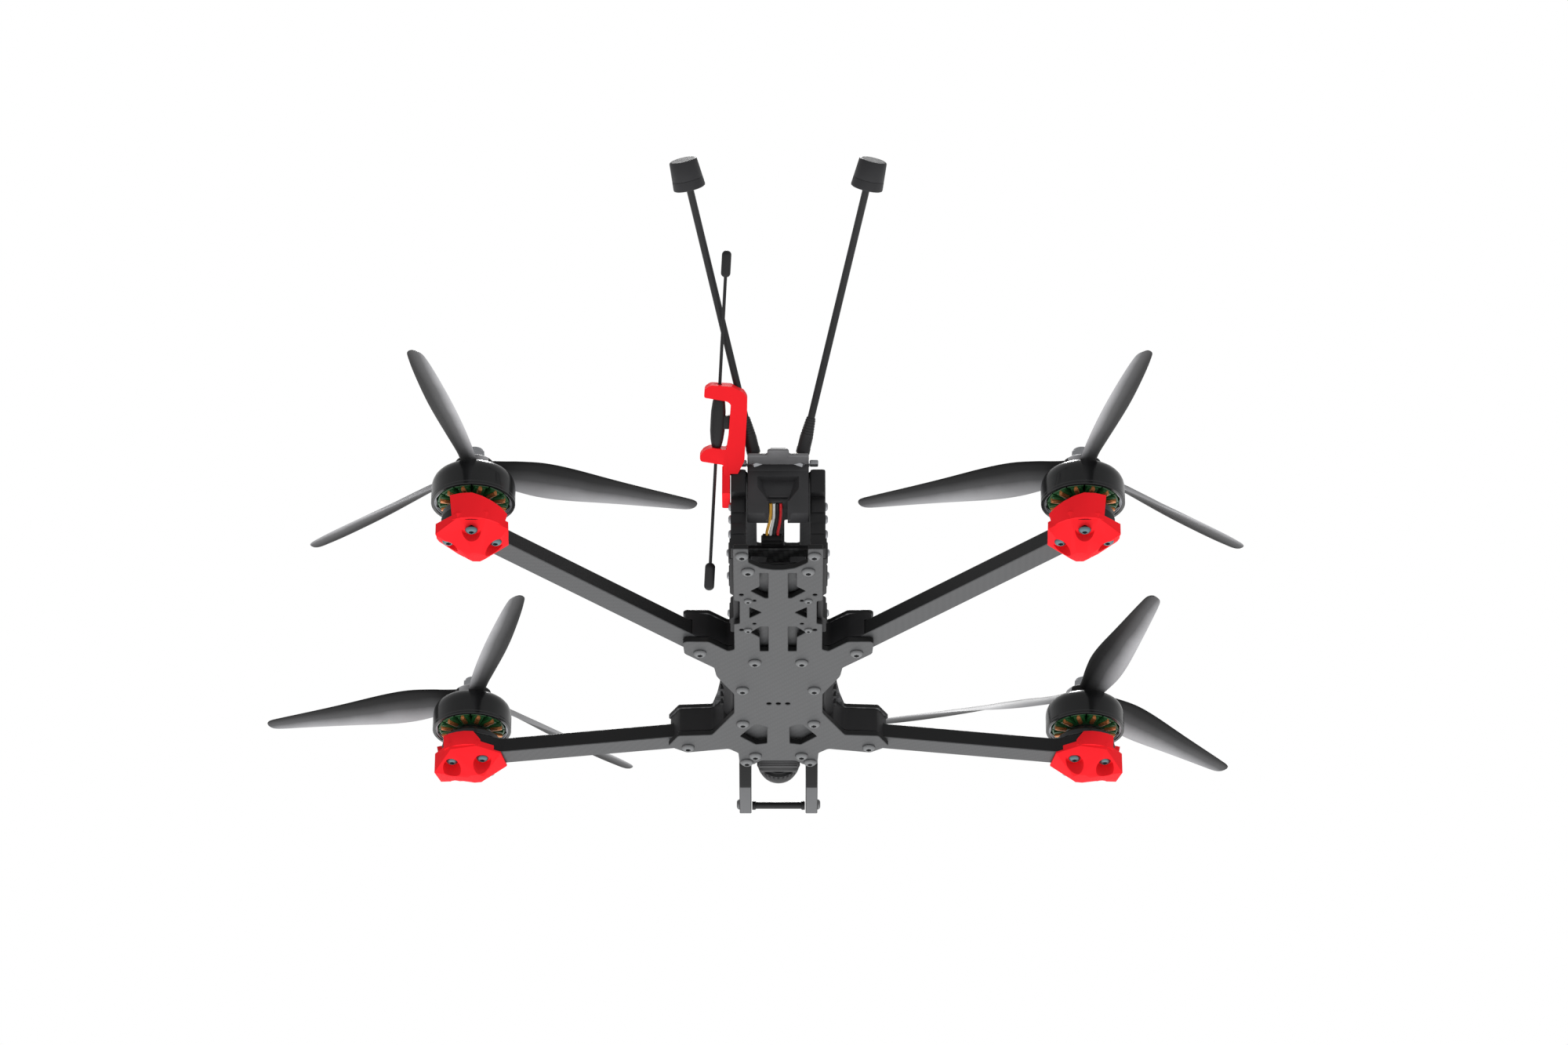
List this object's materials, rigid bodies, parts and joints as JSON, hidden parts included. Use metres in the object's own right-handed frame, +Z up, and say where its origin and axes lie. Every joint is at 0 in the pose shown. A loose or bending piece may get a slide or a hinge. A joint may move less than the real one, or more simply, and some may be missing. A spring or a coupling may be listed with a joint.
{
  "type": "quadcopter drone",
  "caption": "Long-range first-person-view quadcopter with a carbon frame, spinning propellers, a tilting nose camera and leaning tail antennas.",
  "frame": {"origin": "on the ground that the feet stand on, below the middle of the whole outline, propellers included; the plane of symmetry is X = -12.5 mm and the middle between front and rear motors is Y = -12.1 mm", "axes": "+Z up along the motor shafts, +X to the drone's left, nose towards -Y"},
  "size_m": [0.4272, 0.3609, 0.1422],
  "materials": {
    "carbon": "woven carbon laminate, satin",
    "moulded_black": "fine moulded grain",
    "red_rubber": "matt printed flexible plastic",
    "motor_stator": "green lacquer and copper windings",
    "motor_bell": "gloss black anodised",
    "propeller": "smoked glossy plastic",
    "antenna_black": "smooth black",
    "steel": "plated, satin",
    "transmitter_case": "finned cast case",
    "circuit_board": "solder mask",
    "foam": "closed-cell grip foam",
    "lens_glass": "coated lens in a black bezel",
    "lead_yellow": "soft silicone sheath",
    "lead_white": "soft silicone sheath",
    "lead_black": "soft silicone sheath",
    "lead_red": "soft silicone sheath"
  },
  "bodies": {
    "frame": {"bottom_plate": "carbon", "middle_plate": "carbon", "top_plate": "carbon", "arm_front_left": "carbon", "arm_front_right": "carbon", "arm_rear_left": "carbon", "arm_rear_right": "carbon", "camera_plate_left": "carbon", "camera_plate_right": "carbon", "arm_clamp_front_left": "moulded_black", "arm_clamp_front_right": "moulded_black", "arm_clamp_rear_left": "moulded_black", "arm_clamp_rear_right": "moulded_black", "side_guard_left": "moulded_black", "side_guard_right": "moulded_black", "side_rail_left": "moulded_black", "side_rail_right": "moulded_black", "tail_post_left": "moulded_black", "tail_post_right": "moulded_black", "tail_housing": "moulded_black", "nose_crossbar": "moulded_black", "lead_plug": "moulded_black", "gps_module": "moulded_black", "foot_front_left": "red_rubber", "foot_front_right": "red_rubber", "foot_rear_left": "red_rubber", "foot_rear_right": "red_rubber", "receiver_antenna_mount": "red_rubber", "motor_stator_front_left": "motor_stator", "motor_stator_front_right": "motor_stator", "motor_stator_rear_left": "motor_stator", "motor_stator_rear_right": "motor_stator", "video_antenna_left": "antenna_black", "video_antenna_right": "antenna_black", "receiver_antenna": "antenna_black", "antenna_socket_left": "steel", "antenna_socket_right": "steel", "stack_post_1": "steel", "stack_post_2": "steel", "stack_post_3": "steel", "stack_post_4": "steel", "video_transmitter": "transmitter_case", "flight_controller": "circuit_board", "speed_controller": "circuit_board", "battery_pad": "foam", "lead_yellow": "lead_yellow", "lead_white": "lead_white", "lead_black": "lead_black", "lead_red": "lead_red"},
    "rotor_front_left": {"motor_bell_front_left": "motor_bell", "propeller_front_left": "propeller"},
    "rotor_front_right": {"motor_bell_front_right": "motor_bell", "propeller_front_right": "propeller"},
    "rotor_rear_left": {"motor_bell_rear_left": "motor_bell", "propeller_rear_left": "propeller"},
    "rotor_rear_right": {"motor_bell_rear_right": "motor_bell", "propeller_rear_right": "propeller"},
    "camera": {"camera_body": "moulded_black", "camera_lens": "lens_glass"}
  },
  "joints": [
    {"name": "rotor_front_left_spin", "type": "hinge", "parent": "frame", "child": "rotor_front_left", "pos_m": [0.1216, -0.1113, 0.03], "axis": [0, 0, 1], "continuous": true},
    {"name": "rotor_front_right_spin", "type": "hinge", "parent": "frame", "child": "rotor_front_right", "pos_m": [-0.1466, -0.1113, 0.03], "axis": [0, 0, 1], "continuous": true},
    {"name": "rotor_rear_left_spin", "type": "hinge", "parent": "frame", "child": "rotor_rear_left", "pos_m": [0.1118, 0.0871, 0.03], "axis": [0, 0, 1], "continuous": true},
    {"name": "rotor_rear_right_spin", "type": "hinge", "parent": "frame", "child": "rotor_rear_right", "pos_m": [-0.1368, 0.0871, 0.03], "axis": [0, 0, 1], "continuous": true},
    {"name": "camera_tilt", "type": "hinge", "parent": "frame", "child": "camera", "pos_m": [-0.0125, -0.1241, 0.022], "axis": [-1, 0, 0], "range_deg": [-12, 40]}
  ]
}
